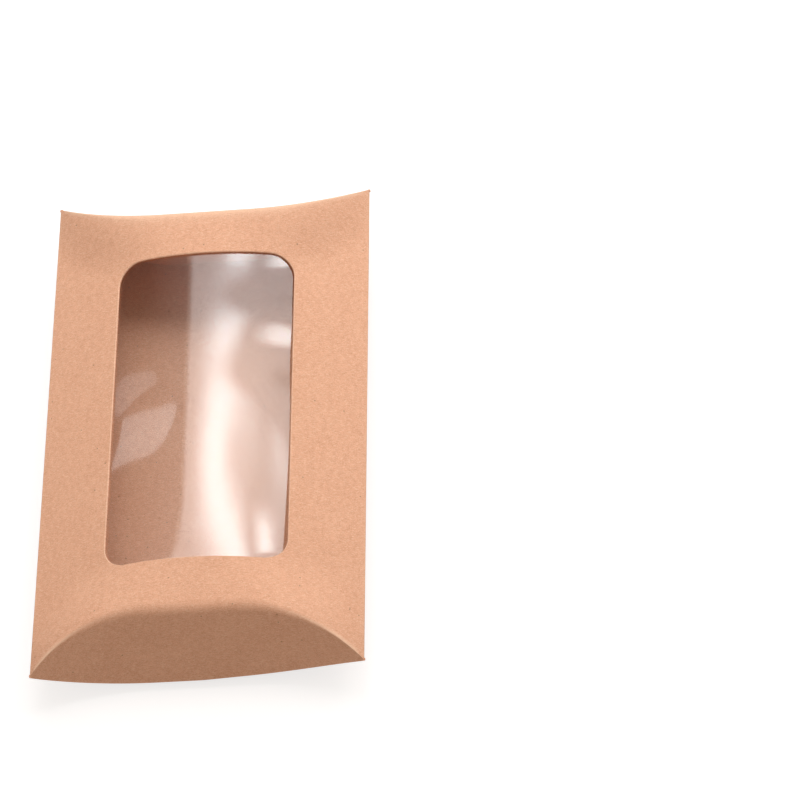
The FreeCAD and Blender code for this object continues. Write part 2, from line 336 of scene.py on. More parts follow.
@dataclass(frozen=True)
class KraftCard:
    """Matte brown card with short fibres, a few pale hairs and dark specks."""

    dark_tone: Colour = srgb(217, 159, 127)
    pale_tone: Colour = srgb(251, 201, 170)
    speck_tone: Colour = srgb(120, 84, 62)
    fleck_tone: Colour = srgb(206, 140, 106)
    hair_tone: Colour = srgb(250, 214, 186)
    # pale tone of worn creases, folds and window rim, which also paints their highlight
    wear_and_highlight_tone: Colour = srgb(255, 224, 197)
    wear_and_highlight_share: float = 0.55
    grain: float = 0.26 * MM
    grain_contrast: float = 1.5
    clump: float = 1.4 * MM
    clump_contrast: float = 0.65
    cloud: float = 8.0 * MM
    cloud_contrast: float = 0.35
    fibre: float = 0.20 * MM
    fibre_stretch: float = 5.0
    fleck_share: float = 0.5
    hair_share: float = 0.6
    fleck_least: float = 0.62
    hair_least: float = 0.605
    fibre_edge: float = 0.12
    fleck_turns: tuple[float, ...] = (12, 75, 131)
    hair_turns: tuple[float, ...] = (35, -22, 98)
    fine_detail: float = 3.0
    fibre_detail: float = 1.0
    speck_pitch: float = 2.4 * MM
    speck: float = 0.24 * MM
    speck_chance: float = 0.03
    speck_share: float = 0.5
    rough: float = 0.82
    rough_swing: float = 0.2
    relief: float = 0.03 * MM
    relief_share: float = 0.5
    gloss: float = 0.25

    def material(self) -> bpy.types.Material:
        """Make the finish on the flat map of the blank.

        Returns:
            The material.
        """
        material, graph = new_material("kraft_card")
        place = graph.add("ShaderNodeUVMap", {"uv_map": FLAT_MAP})
        grain = graph.noise(place, self.grain, self.fine_detail) - NOISE_MEAN
        clumps = graph.noise(place, self.clump) - NOISE_MEAN
        clouds = graph.noise(place, self.cloud, self.fine_detail) - NOISE_MEAN
        level = NOISE_MEAN + grain * self.grain_contrast + clumps * self.clump_contrast
        level += clouds * self.cloud_contrast
        flecks = self.fibres(graph, place, self.fleck_turns, self.fleck_least)
        hairs = self.fibres(graph, place, self.hair_turns, self.hair_least)
        card = graph.mixed(level, self.dark_tone, self.pale_tone)
        card = graph.mixed(flecks * self.fleck_share, card, self.fleck_tone)
        card = graph.mixed(hairs * self.hair_share, card, self.hair_tone)
        specks = graph.specks(place, self.speck_pitch, self.speck, self.speck_chance)
        card = graph.mixed(specks * self.speck_share, card, self.speck_tone)
        # paler creases, folds and window rim: worn card and a painted highlight
        pale_wear_and_highlight = graph.add("ShaderNodeAttribute", {"attribute_name": WEAR_AND_HIGHLIGHT}, {}, "Fac")
        pale_wear_and_highlight = pale_wear_and_highlight.larger(graph.add("ShaderNodeAttribute", {"attribute_name": RIM_WEAR_AND_HIGHLIGHT}, {}, "Fac"))
        card = graph.mixed(pale_wear_and_highlight * self.wear_and_highlight_share, card, self.wear_and_highlight_tone)
        bump = {"Strength": self.relief_share, "Distance": self.relief, "Height": grain + hairs}
        inputs = {
            "Base Color": card,
            "Roughness": self.rough + grain * self.rough_swing,
            "Normal": graph.add("ShaderNodeBump", {}, bump),
            "Specular IOR Level": self.gloss,
        }
        graph.surface(graph.add("ShaderNodeBsdfPrincipled", {}, inputs))
        return material

    def fibres(self, graph: Graph, place: Shade, turns: Sequence[float], least: float) -> Shade:
        """Sparse fibres that lie in a few directions.

        Args:
            graph: Graph to add to.
            place: Position on the blank.
            turns: The directions, in degrees.
            least: Noise from which there is a fibre; a lower value gives more of them.

        Returns:
            1 in a fibre and 0 elsewhere.
        """
        layers = [
            graph.noise(place, self.fibre, self.fibre_detail, self.fibre_stretch, turn) for turn in turns
        ]
        strands = layers[0]
        for layer in layers[1:]:
            strands = strands.larger(layer)
        return strands.rise(least, least + self.fibre_edge)


@dataclass(frozen=True)
class ClearFilm:
    """Clear glossy film with a trace of dust."""

    gloss: float = 0.072
    clear: float = 0.975
    rough: float = 0.05
    dust_pitch: float = 3.0 * MM
    dust: float = 0.12 * MM
    dust_chance: float = 0.06
    dust_share: float = 0.35
    dust_tone: Colour = (0.9, 0.9, 0.9, 1.0)
    slant_power: float = 5.0

    def material(self) -> bpy.types.Material:
        """Make the finish on the flat map of the film.

        Returns:
            The material.
        """
        material, graph = new_material("clear_film")
        place = graph.add("ShaderNodeUVMap", {"uv_map": FLAT_MAP})
        through = {"Color": (self.clear, self.clear, self.clear, 1.0)}
        clear = graph.add("ShaderNodeBsdfTransparent", {}, through)
        shine = {"Color": (1.0, 1.0, 1.0, 1.0), "Roughness": self.rough}
        gloss = graph.add("ShaderNodeBsdfGlossy", {}, shine)
        slant = graph.add("ShaderNodeLayerWeight", {}, {}, "Facing")
        mirror = self.gloss + slant.power(self.slant_power) * (1 - self.gloss)
        film = graph.add("ShaderNodeMixShader", {}, {0: mirror, 1: clear, 2: gloss})
        pale = graph.add("ShaderNodeBsdfDiffuse", {}, {"Color": self.dust_tone})
        dust = graph.specks(place, self.dust_pitch, self.dust, self.dust_chance) * self.dust_share
        graph.surface(graph.add("ShaderNodeMixShader", {}, {0: dust, 1: film, 2: pale}))
        return material


@dataclass(frozen=True)
class DriedGlue:
    """Thin milky glue."""

    tone: Colour = srgb(236, 226, 208)
    grain: float = 1.2 * MM
    detail: float = 3.0
    least_tone: float = 0.9
    tone_swing: float = 0.2
    least_rough: float = 0.35
    rough_swing: float = 0.3
    least_cover: float = 0.35
    cover_swing: float = 0.3

    def material(self) -> bpy.types.Material:
        """Make the finish on the piece's own coordinates.

        Returns:
            The material.
        """
        material, graph = new_material("dried_glue")
        place = graph.add("ShaderNodeTexCoord", {}, {}, "Object")
        clouds = graph.noise(place, self.grain, self.detail)
        inputs = {
            "Base Color": graph.scaled(self.tone, self.least_tone + clouds * self.tone_swing),
            "Roughness": self.least_rough + clouds * self.rough_swing,
            "Alpha": self.least_cover + clouds * self.cover_swing,
        }
        graph.surface(graph.add("ShaderNodeBsdfPrincipled", {}, inputs))
        return material


@dataclass(frozen=True)
class Section:
    """Bowed line across one panel: a flat crown with an arc down to the fold on each side."""

    half_width: float = HALF_WIDTH
    half_flat: float = 10.0 * MM
    bow: float = BOW

    @property
    def radius(self) -> float:
        """Radius of the arcs."""
        run = self.half_width - self.half_flat
        return (run * run + self.bow * self.bow) / (2 * self.bow)

    @property
    def half_card(self) -> float:
        """Length of card from the middle of the crown to the fold."""
        lean = math.asin((self.half_width - self.half_flat) / self.radius)
        return self.half_flat + self.radius * lean

    def at(self, across: float) -> tuple[float, float]:
        """Point on the bowed line.

        Args:
            across: Length of card from the middle of the crown.

        Returns:
            Distance from the middle, and height above the folds.
        """
        turn = max(0.0, abs(across) - self.half_flat) / self.radius
        reach = min(abs(across), self.half_flat) + self.radius * math.sin(turn)
        return math.copysign(reach, across), self.bow - self.radius * (1 - math.cos(turn))

    def card_to(self, reach: float) -> float:
        """Length of card from the middle of the crown to a given distance from the middle."""
        return self.half_flat + self.radius * math.asin((reach - self.half_flat) / self.radius)


@dataclass(frozen=True)
class Crown:
    """Rounder bow of a panel that its window makes weaker: an arc with straight flanks."""

    half_width: float = HALF_WIDTH
    bow: float = BOW
    radius: float = 53.4 * MM

    @property
    def slope(self) -> float:
        """Angle of the flanks.

        Returns:
            The angle in radians.
        """
        drop = self.radius - self.bow
        away = math.hypot(self.half_width, drop)
        return math.atan2(self.half_width, drop) - math.acos(self.radius / away)

    def height(self, x: float) -> float:
        """Height of the bow.

        Args:
            x: Distance from the middle.

        Returns:
            The height above the folds.
        """
        half_arc = self.radius * math.sin(self.slope)
        if abs(x) > half_arc:
            return (self.half_width - abs(x)) * math.tan(self.slope)
        return self.bow - self.radius + math.sqrt(self.radius**2 - x * x)


class BentSheet(ABC):
    """A sheet that is cut flat and then bent."""

    NUDGE = 0.01 * MM
    LEAST_NORMAL = 1e-16

    @abstractmethod
    def point(self, across: float, along: float) -> Vector:
        """Place on the sheet's outer face of a point of the flat sheet."""

    def wear_and_highlight(self, across: float, along: float) -> float:
        """Wear and painted highlight of the flat sheet at a place, from 0 to 1."""
        return 0.0

    @abstractmethod
    def facing(self) -> float:
        """1 where the flat sheet's upper side becomes the outside of the box, or -1."""

    def bend(self, flat: Vector) -> Vector:
        """Place of a point of the flat sheet, at its depth under the outer face.

        Args:
            flat: Position across and along the flat sheet, with the depth as a negative height.

        Returns:
            The place in the box.
        """
        here = self.point(flat.x, flat.y)
        step = self.NUDGE
        side = self.point(flat.x + step, flat.y) - self.point(flat.x - step, flat.y)
        on = self.point(flat.x, flat.y + step) - self.point(flat.x, flat.y - step)
        normal = side.cross(on) * self.facing()
        if normal.length < self.LEAST_NORMAL:
            return here
        return here + normal.normalized() * flat.z


@dataclass(frozen=True)
class PanelSheet(BentSheet):
    """A bowed panel with a flap beyond the curved crease at each end."""

    LEAST_SOFT = 1e-6 * MM

    side: Side
    lean: float
    reach: float
    soft: float
    crown: Crown | None = None
    crown_run: float = 16.0 * MM
    section: Section = Section()
    half_length: float = HALF_LENGTH
    lower_back: float = 10.4 * MM
    upper_back: float = 10.4 * MM
    soft_share: float = 0.45
    trim: float = 0.0
    # pale line at a crease: worn card, and a painted highlight set a little onto the panel and along the
    # upper crease's rounding
    wear_and_highlight_lead: float = 0.2 * MM
    wear_and_highlight_half: float = 0.35 * MM
    wear_and_highlight_gain: float = 1.8
    upper_wear_and_highlight: float = 0.6

    def facing(self) -> float:
        """The back panel is bent the other way."""
        return float(self.side.value)

    def crease(self, share: float, along: float) -> float:
        """Distance of a crease from the middle of the box.

        Args:
            share: Share of the bow that is left there.
            along: Negative at the lower end and positive at the upper one.

        Returns:
            The distance.
        """
        return self.half_length - (self.upper_back if along > 0 else self.lower_back) * share

    def rounding(self, share: float) -> float:
        """Half length of card in the rounding of the crease, which dies out at the corners."""
        return max(self.LEAST_SOFT, min(self.soft * share * share, self.soft_share * self.reach * share))

    def wear_and_highlight(self, across: float, along: float) -> float:
        """Wear and painted highlight of the crease, which is sharp and pale near the corners and soft in
        the middle.

        Args:
            across: Length of card from the middle of the panel.
            along: Length of card from the middle of the box.

        Returns:
            1 where the wear and painted highlight are strongest and 0 where the card is plain.
        """
        share = self.share(across)
        past = abs(along) - self.crease(share, along)
        # near the corners, a pale line a little onto the panel: worn card and a painted highlight
        corner = min(1.0, self.wear_and_highlight_gain * (1 - share)) * bell((past + self.wear_and_highlight_lead) / self.wear_and_highlight_half)
        if along < 0:
            return corner
        # at the upper end, a painted highlight and wear along the crease's rounding
        return max(corner, self.upper_wear_and_highlight * bell(past / (self.rounding(share) + self.wear_and_highlight_half)))

    def flap_length(self, across: float) -> float:
        """Length of a flap from its crease, which is trimmed a little towards the right."""
        trim = self.trim * max(0.0, across) / self.section.half_card
        return self.reach * self.share(across) * (1 - trim)

    def share(self, across: float) -> float:
        """Share of the bow that is left at a place across the panel."""
        return self.section.at(across)[1] / self.section.bow

    def surface(self, across: float, along: float) -> tuple[float, float]:
        """Point on the panel.

        Args:
            across: Length of card from the middle of the panel.
            along: Length of card from the middle of the box.

        Returns:
            Distance from the middle, and height above the folds.
        """
        x, height = self.section.at(across)
        if self.crown is None:
            return x, height
        before = self.crease(height / self.section.bow, along) - abs(along)
        rounder = soft_step(0.0, self.crown_run, before)
        return x, height + rounder * (self.crown.height(x) - height)

    def point(self, across: float, along: float) -> Vector:
        """Place on the outer face of the panel or of a flap.

        Args:
            across: Length of card from the middle of the panel.
            along: Length of card from the middle of the box.

        Returns:
            The place in the box.
        """
        share = self.share(across)
        x, height = self.surface(across, along)
        crease = self.crease(share, along)
        on_panel, on_flap = soft_fold(abs(along) - crease, self.rounding(share))
        out = crease + on_panel + on_flap * math.sin(self.lean)
        rise = height - on_flap * math.cos(self.lean)
        return Vector((x, math.copysign(out, along), self.section.bow + self.side.value * rise))


@dataclass(frozen=True)
class FoldSheet(BentSheet):
    """The strip of card round the fold at one side of the box."""

    hand: int
    front: PanelSheet
    back: PanelSheet
    soft: float = 0.7 * MM
    # pale line along the fold: worn card and a painted highlight
    pale_wear_and_highlight: float = 0.3

    def facing(self) -> float:
        """The left fold is the right one's mirror image."""
        return float(self.hand)

    def point(self, across: float, along: float) -> Vector:
        """Place on the outer face of the fold.

        Args:
            across: Length of card from the fold line, positive on the back panel's side.
            along: Distance from the middle of the box.

        Returns:
            The place in the box.
        """
        section = self.front.section
        on_front, on_back = soft_fold(across, self.soft)
        front_x, front_rise = self.front.surface(section.half_card + on_front, along)
        back_x, back_rise = self.back.surface(section.half_card - on_back, along)
        x = front_x + back_x - section.half_width
        return Vector((self.hand * x, along, section.bow + front_rise - back_rise))

    def wear_and_highlight(self, across: float, along: float) -> float:
        """Wear and painted highlight along the fold line."""
        return self.pale_wear_and_highlight * bell(across / self.soft)

    def end(self, across: float, along: float) -> float:
        """Distance from the middle of the box at which the strip ends.

        Args:
            across: Length of card from the fold line, positive on the back panel's side.
            along: Negative at the lower end and positive at the upper one.

        Returns:
            The distance.
        """
        sheet = self.front if across < 0 else self.back
        half_card = sheet.section.half_card
        on_front, on_back = soft_fold(across, self.soft)
        share = abs(sheet.share(half_card + on_front) - sheet.share(half_card - on_back))
        return sheet.crease(share, along) - sheet.rounding(share)


def slab(columns: int, rows: int, outline: Placer, thick: float) -> bmesh.types.BMesh:
    """Flat sheet with a thickness.

    Args:
        columns: Faces across the sheet.
        rows: Faces along the sheet.
        outline: Gives the flat place of a point of the square from -1 to 1.
        thick: Thickness of the sheet.

    Returns:
        The closed mesh, with its upper side at height 0.
    """
    mesh = bmesh.new()
    bmesh.ops.create_grid(mesh, x_segments=columns, y_segments=rows, size=1.0)
    for vert in mesh.verts:
        vert.co.x, vert.co.y = outline(vert.co.x, vert.co.y)
    made = bmesh.ops.extrude_face_region(mesh, geom=mesh.faces[:], use_keep_orig=True)
    under = [part for part in made["geom"] if isinstance(part, bmesh.types.BMVert)]
    bmesh.ops.translate(mesh, verts=under, vec=(0.0, 0.0, -thick))
    bmesh.ops.recalc_face_normals(mesh, faces=mesh.faces[:])
    return mesh


def bend_sheet(mesh: bmesh.types.BMesh, sheet: BentSheet) -> None:
    """Note the flat place of each corner on the flat map and the wear and painted highlight of each point,
    then bend the sheet.

    Args:
        mesh: The flat sheet.
        sheet: How it is bent.
    """
    layer = mesh.loops.layers.uv.get(FLAT_MAP) or mesh.loops.layers.uv.new(FLAT_MAP)
    for face in mesh.faces:
        for loop in face.loops:
            loop[layer].uv = loop.vert.co.xy
    # pale wear and painted highlight of creases and folds
    pale_wear_and_highlight = mesh.verts.layers.float.new(WEAR_AND_HIGHLIGHT)
    for vert in mesh.verts:
        vert[pale_wear_and_highlight] = sheet.wear_and_highlight(vert.co.x, vert.co.y)
    for vert in mesh.verts:
        vert.co = sheet.bend(vert.co)
    bmesh.ops.remove_doubles(mesh, verts=mesh.verts[:], dist=MERGE_WITHIN)
    bmesh.ops.recalc_face_normals(mesh, faces=mesh.faces[:])


def make_object(
    name: str, mesh: bmesh.types.BMesh, material: bpy.types.Material | None
) -> bpy.types.Object:
    """Turn a mesh into a piece at the origin.

    Args:
        name: The piece's name.
        mesh: Its mesh, which is freed.
        material: Its finish.

    Returns:
        The piece.
    """
    data = bpy.data.meshes.new(name)
    mesh.to_mesh(data)
    mesh.free()
    piece = bpy.data.objects.new(name, data)
    bpy.context.scene.collection.objects.link(piece)
    if material is not None:
        data.materials.append(material)
    return piece


def smooth(piece: bpy.types.Object, angle: float = 40.0) -> None:
    """Shade a piece smooth, with its edges sharper than an angle in degrees kept."""
    piece.data.polygons.foreach_set("use_smooth", [True] * len(piece.data.polygons))
    piece.data.set_sharp_from_angle(angle=math.radians(angle))


def fixed_piece(
    name: str, mesh: bmesh.types.BMesh, finish: bpy.types.Material, node: str
) -> bpy.types.Object:
    """Piece that belongs to the shell of the box.

    Args:
        name: The piece's name.
        mesh: Its mesh, which is freed.
        finish: Its material.
        node: The node that it stands for.

    Returns:
        The piece.
    """
    piece = make_object(name, mesh, finish)
    smooth(piece)
    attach(piece, "shell")
    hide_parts(node)
    return piece


@dataclass(frozen=True)
class Window:
    """The window of the flat front panel, with round corners."""

    half_x: float = 20.8 * MM
    half_y: float = 40.2 * MM
    corner: float = 5.5 * MM
    shift: float = 0.2 * MM
    reach: float = 5.0 * MM
    rim: float = 0.15 * MM
    # share of pale tone on the rim's chamfer: worn card and a painted highlight
    rim_wear_and_highlight_share: float = 0.7
    level_within: float = 0.015 * MM
    wall_rise: float = 0.5
    corner_steps: int = 12

    def break_rim(self, sheet: bmesh.types.BMesh) -> None:
        """Break the upper edge of the cut window and mark it for a pale tone of worn card and a painted
        highlight.

        Args:
            sheet: The flat sheet with its window.
        """
        pale_wear_and_highlight = sheet.faces.layers.float.new(RIM_WEAR_AND_HIGHLIGHT)
        half = Vector((self.half_x, self.half_y)) + Vector((self.rim, self.rim))
        rim = [edge for edge in sheet.edges if self.on_rim(edge, half)]
        made = bmesh.ops.bevel(
            sheet, geom=rim, offset=self.rim, segments=1, profile=0.5, affect="EDGES", material=-1
        )
        # the chamfer gets the pale tone of wear and a painted highlight
        for face in made["faces"]:
            face[pale_wear_and_highlight] = self.rim_wear_and_highlight_share

    def on_rim(self, edge: bmesh.types.BMEdge, half: Vector) -> bool:
        """Whether an edge of the flat sheet is an upper edge of the window.

        Args:
            edge: The edge.
            half: Half the size that the window's edges lie within.

        Returns:
            True on the rim.
        """
        near = all(abs(v.co.x - self.shift) < half.x and abs(v.co.y) < half.y for v in edge.verts)
        high = all(abs(v.co.z) < self.level_within for v in edge.verts)
        walls = [face for face in edge.link_faces if abs(face.normal.z) < self.wall_rise]
        return near and high and len(walls) == 1

    def cut(self, blank: bmesh.types.BMesh, margin: float = 0.0) -> bmesh.types.BMesh:
        """Cut the window out of a flat sheet.

        Args:
            blank: The sheet, which is freed.
            margin: Card left free round the window.

        Returns:
            The sheet with its window.
        """
        sheet = make_object("blank", blank, None)
        punch = make_object("punch", self.punch(margin), None)
        cut = sheet.modifiers.new("window", "BOOLEAN")
        cut.operation = "DIFFERENCE"
        cut.solver = "EXACT"
        cut.object = punch
        mesh = bmesh.new()
        mesh.from_object(sheet, bpy.context.evaluated_depsgraph_get())
        for helper in (sheet, punch):
            bpy.data.objects.remove(helper)
        return mesh

    def punch(self, margin: float) -> bmesh.types.BMesh:
        """Block with round corners, larger than the window by a margin.

        Args:
            margin: How much larger it is on each side.

        Returns:
            The block.
        """
        mesh = bmesh.new()
        bmesh.ops.create_cube(mesh, size=2.0)
        half = (self.half_x + margin, self.half_y + margin, self.reach)
        bmesh.ops.scale(mesh, vec=half, verts=mesh.verts[:])
        upright = [e for e in mesh.edges if abs(e.verts[0].co.z - e.verts[1].co.z) > self.reach]
        bmesh.ops.bevel(
            mesh,
            geom=upright,
            offset=self.corner + margin,
            segments=self.corner_steps,
            profile=0.5,
            affect="EDGES",
            material=-1,
        )
        bmesh.ops.translate(mesh, vec=(self.shift, 0.0, 0.0), verts=mesh.verts[:])
        return mesh


@dataclass
class CardBox:
    """The folded card: two panels, two side folds and four end flaps."""

    finish: bpy.types.Material
    card: float = CARD
    strip: float = 1.8 * MM
    window: Window = Window()
    columns: int = 72
    rows: int = 110
    fold_columns: int = 16
    flap_tip: float = 0.25 * MM
    inner_half: float = 32.5 * MM
    crease_rows: int = 8
    flap_rows: int = 16
    bend_run: float = 4.0 * MM
    front: PanelSheet = PanelSheet(
        Side.FRONT,
        lean=math.radians(21),
        reach=21.3 * MM,
        soft=2.0 * MM,
        crown=Crown(),
        lower_back=9.4 * MM,
        upper_back=10.5 * MM,
        trim=0.12,
    )
    back: PanelSheet = PanelSheet(Side.BACK, lean=math.radians(-20), reach=20.05 * MM, soft=0.8 * MM)

    def build(self) -> list[bpy.types.Object]:
        """Make all the pieces of card.

        Returns:
            The pieces.
        """
        pieces = [self.front_panel(), self.panel("back_panel", self.back)]
        pieces += [self.side_fold("left_fold", -1), self.side_fold("right_fold", 1)]
        for end in End:
            pieces.append(self.flap(end, self.front))
            pieces.append(self.flap(end, self.back))
        return pieces

    def panel_blank(self, sheet: PanelSheet) -> bmesh.types.BMesh:
        """Flat panel from one soft crease to the other.

        Args:
            sheet: The panel to cut it for.

        Returns:
            The flat mesh.
        """
        half = sheet.section.half_card - self.strip

        def outline(x: float, y: float) -> tuple[float, float]:
            """Place in the panel of a point of the square."""
            share = sheet.share(x * half)
            return x * half, y * (sheet.crease(share, y) - sheet.rounding(share))

        return slab(self.columns, self.rows, outline, self.card)

    def panel(self, name: str, sheet: PanelSheet) -> bpy.types.Object:
        """Whole panel.

        Args:
            name: The piece's name, which is its node's too.
            sheet: How it is bent.

        Returns:
            The piece.
        """
        mesh = self.panel_blank(sheet)
        bend_sheet(mesh, sheet)
        return fixed_piece(f"{name}_card", mesh, self.finish, name)

    def front_panel(self) -> bpy.types.Object:
        """Front panel, with its window cut while it is flat.

        Returns:
            The piece.
        """
        mesh = self.window.cut(self.panel_blank(self.front))
        self.window.break_rim(mesh)
        bend_sheet(mesh, self.front)
        return fixed_piece("front_panel_card", mesh, self.finish, "front_panel")

    def side_fold(self, name: str, hand: int) -> bpy.types.Object:
        """Fold strip at one side.

        Args:
            name: The piece's name, which is its node's too.
            hand: 1 at the right and -1 at the left.

        Returns:
            The piece.
        """
        sheet = FoldSheet(hand, self.front, self.back)

        def outline(x: float, y: float) -> tuple[float, float]:
            """Place in the strip of a point of the square."""
            return x * self.strip, y * sheet.end(x * self.strip, y)

        mesh = slab(self.fold_columns, self.rows, outline, self.card)
        bend_sheet(mesh, sheet)
        return fixed_piece(f"{name}_card", mesh, self.finish, name)

    def flap(self, end: End, sheet: PanelSheet) -> bpy.types.Object:
        """End flap, from the start of its soft crease to its free edge.

        Args:
            end: The end of the box.
            sheet: The panel that the flap belongs to.

        Returns:
            The piece.
        """
        outer = sheet.side is Side.FRONT
        section = sheet.section
        half = section.half_card - self.flap_tip if outer else section.card_to(self.inner_half)
        rows = self.crease_rows + self.flap_rows

        def outline(x: float, y: float) -> tuple[float, float]:
            """Place in the flap of a point of the square.

            Args:
                x: From -1 at the left to 1 at the right.
                y: From -1 at the crease to 1 at the free edge.

            Returns:
                The place on the flat card.
            """
            share = sheet.share(x * half)
            soft = sheet.rounding(share)
            row = (y + 1) / 2 * rows
            past = -soft + 2 * soft * min(1.0, row / self.crease_rows)
            beyond = max(0.0, row - self.crease_rows) / self.flap_rows
            past += (sheet.flap_length(x * half) - soft) * beyond
            return x * half, end.value * (sheet.crease(share, end.value) + past)

        mesh = slab(self.columns, rows, outline, self.card)
        bend_sheet(mesh, sheet)
        name = f"{end.name.lower()}_{'outer' if outer else 'inner'}"
        piece = make_object(f"{name}_flap_card", mesh, self.finish)
        smooth(piece)
        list(self.hinge_run(end, sheet))
        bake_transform(piece)
        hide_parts(f"{name}_flap")
        return piece

    def hinge_run(self, end: End, sheet: PanelSheet) -> tuple[Vector, Vector]:
        """Points at the middle of a flap's crease, which are worked out but not used.

        Args:
            end: The end of the box.
            sheet: The panel that the flap belongs to.

        Returns:
            A point on the crease, and one the bend's length away from the crease's plane.
        """
        bow = sheet.section.bow
        crown = sheet.crease(1.0, end.value)
        apex = Vector((0.0, end.value * crown, bow * (1 + sheet.side.value)))
        along = Vector((0.0, end.value * (crown - sheet.half_length), sheet.side.value * bow))
        away = along.cross(Vector((1.0, 0.0, 0.0))).normalized()
        ruling = Vector((0.0, end.value * math.sin(sheet.lean), -sheet.side.value * math.cos(sheet.lean)))
        if away.dot(ruling) < 0:
            away = -away
        return apex, apex + away * self.bend_run


@dataclass(frozen=True)
class Dent:
    """A shallow dent in slack film, in millimetres and degrees."""

    x: float
    y: float
    length: float
    width: float
    depth: float
    turn: float = 0.0

    def at(self, x: float, y: float) -> float:
        """Drop of the film at a place.

        Args:
            x: Distance across from the middle of the window, in millimetres.
            y: Distance along from the middle of the window, in millimetres.

        Returns:
            The drop in millimetres.
        """
        cos, sin = math.cos(math.radians(self.turn)), math.sin(math.radians(self.turn))
        along = ((x - self.x) * cos + (y - self.y) * sin) / self.length
        aside = ((y - self.y) * cos - (x - self.x) * sin) / self.width
        return self.depth * math.exp(-along * along - aside * aside)


@dataclass(frozen=True)
class FilmSheet(BentSheet):
    """Film that follows the panel where it is glued and is slack in the window."""

    panel: PanelSheet
    depth: float
    window: Window = Window()
    ease: float = 3.0 * MM
    dents: tuple[Dent, ...] = (
        # round hollow beside the streak
        Dent(x=19, y=13, length=10, width=9, depth=1.0),
        # smaller hollow above it
        Dent(x=18, y=32, length=9, width=6, depth=0.5),
        # long hollow right of the streak's lower half
        Dent(x=12, y=-14, length=7, width=14, depth=0.6, turn=5),
        # sag along the lower right edge
        Dent(x=23, y=-42, length=7, width=25, depth=1.4),
        # sag at the lower end
        Dent(x=0, y=-48, length=16, width=15, depth=2.0, turn=60),
    )

    def facing(self) -> float:
        """The film's upper side is its outer side."""
        return 1.0

    def point(self, across: float, along: float) -> Vector:
        """Place on the film's outer face.

        Args:
            across: Length of film from its middle.
            along: Distance from the middle of the box.

        Returns:
            The place in the box.
        """
        x, height = self.panel.surface(across, along)
        slack_x = soft_step(self.window.half_x + self.ease, self.window.half_x, abs(x))
        slack_y = soft_step(self.window.half_y + self.ease, self.window.half_y, abs(along))
        drop = sum(dent.at(x / MM, along / MM) for dent in self.dents) * MM
        level = self.panel.section.bow + height - self.depth
        return Vector((x, along, level - slack_x * slack_y * drop))


@dataclass
class WindowFilm:
    """The film in the window, with the glue that holds it."""

    panel: PanelSheet
    film: bpy.types.Material
    glue: bpy.types.Material
    window: Window = Window()
    half_x: float = 27.5 * MM
    half_y: float = 47.25 * MM
    film_depth: float = CARD + 0.15 * MM
    film_thick: float = 0.15 * MM
    glue_depth: float = CARD + 0.01 * MM
    glue_thick: float = 0.08 * MM
    glue_inset: float = 1.5 * MM
    columns: int = 110
    rows: int = 190
    glue_columns: int = 40
    glue_rows: int = 60

    def build(self) -> list[bpy.types.Object]:
        """Make the film and the glue frame that holds it.

        Returns:
            The pieces.
        """
        film = slab(self.columns, self.rows, self.outline, self.film_thick)
        bend_sheet(film, FilmSheet(self.panel, self.film_depth))
        frame_blank = slab(self.glue_columns, self.glue_rows, self.outline, self.glue_thick)
        glue = self.window.cut(frame_blank, self.glue_inset)
        bend_sheet(glue, FilmSheet(self.panel, self.glue_depth, dents=()))
        return [
            fixed_piece("window_film_sheet", film, self.film, "window_film"),
            fixed_piece("window_glue_frame", glue, self.glue, "window_glue"),
        ]

    def outline(self, x: float, y: float) -> tuple[float, float]:
        """Place in the flat film of a point of the square."""
        return x * self.panel.section.card_to(self.half_x), y * self.half_y


@dataclass
class Seam:
    """The tab folded in along the left side, and the glue that holds it to the back panel."""

    panel: PanelSheet
    card: bpy.types.Material
    glue: bpy.types.Material
    outer_x: float = 35.5 * MM
    inner_x: float = 24.5 * MM
    half_length: float = 48.0 * MM
    glue_depth: float = CARD
    glue_thick: float = 0.1 * MM
    tab_thick: float = CARD
    columns: int = 12
    rows: int = 60

    def build(self) -> list[bpy.types.Object]:
        """Make the tab and its glue.

        Returns:
            The pieces.
        """
        glue = self.strip(self.glue_depth, self.glue_thick)
        tab = self.strip(self.glue_depth + self.glue_thick, self.tab_thick)
        return [
            fixed_piece("seam_tab_strip", tab, self.card, "seam_tab"),
            fixed_piece("seam_glue_line", glue, self.glue, "seam_glue"),
        ]

    def strip(self, depth: float, thick: float) -> bmesh.types.BMesh:
        """Strip that lies along the inside of the back panel.

        Args:
            depth: How far it lies under the panel's outer face.
            thick: Its thickness.

        Returns:
            The bent mesh.
        """
        mesh = slab(self.columns, self.rows, self.outline, thick)
        bmesh.ops.translate(mesh, vec=(0.0, 0.0, -depth), verts=mesh.verts[:])
        bend_sheet(mesh, self.panel)
        return mesh

    def outline(self, x: float, y: float) -> tuple[float, float]:
        """Place on the flat blank of a point of the square."""
        outer, inner = (self.panel.section.card_to(x_at) for x_at in (self.outer_x, self.inner_x))
        return -outer + (x + 1) / 2 * (outer - inner), y * self.half_length


def hang(mesh: bmesh.types.BMesh, place: Sequence[float], aim: Sequence[float]) -> None:
    """Hang a flat mesh at a place, with its upper side towards a point.

    Args:
        mesh: The mesh, which lies flat round the origin.
        place: Where its origin goes.
        aim: The point that it faces.
    """
    ahead = Vector(aim) - Vector(place)
    turn = ahead.to_track_quat("Z", "Y")
    bmesh.ops.rotate(mesh, cent=(0.0, 0.0, 0.0), matrix=turn.to_matrix(), verts=mesh.verts[:])
    bmesh.ops.translate(mesh, vec=place, verts=mesh.verts[:])
    bmesh.ops.recalc_face_normals(mesh, faces=mesh.faces[:])
    turned = [face for face in mesh.faces if face.normal.dot(ahead) < 0]
    bmesh.ops.reverse_faces(mesh, faces=turned)


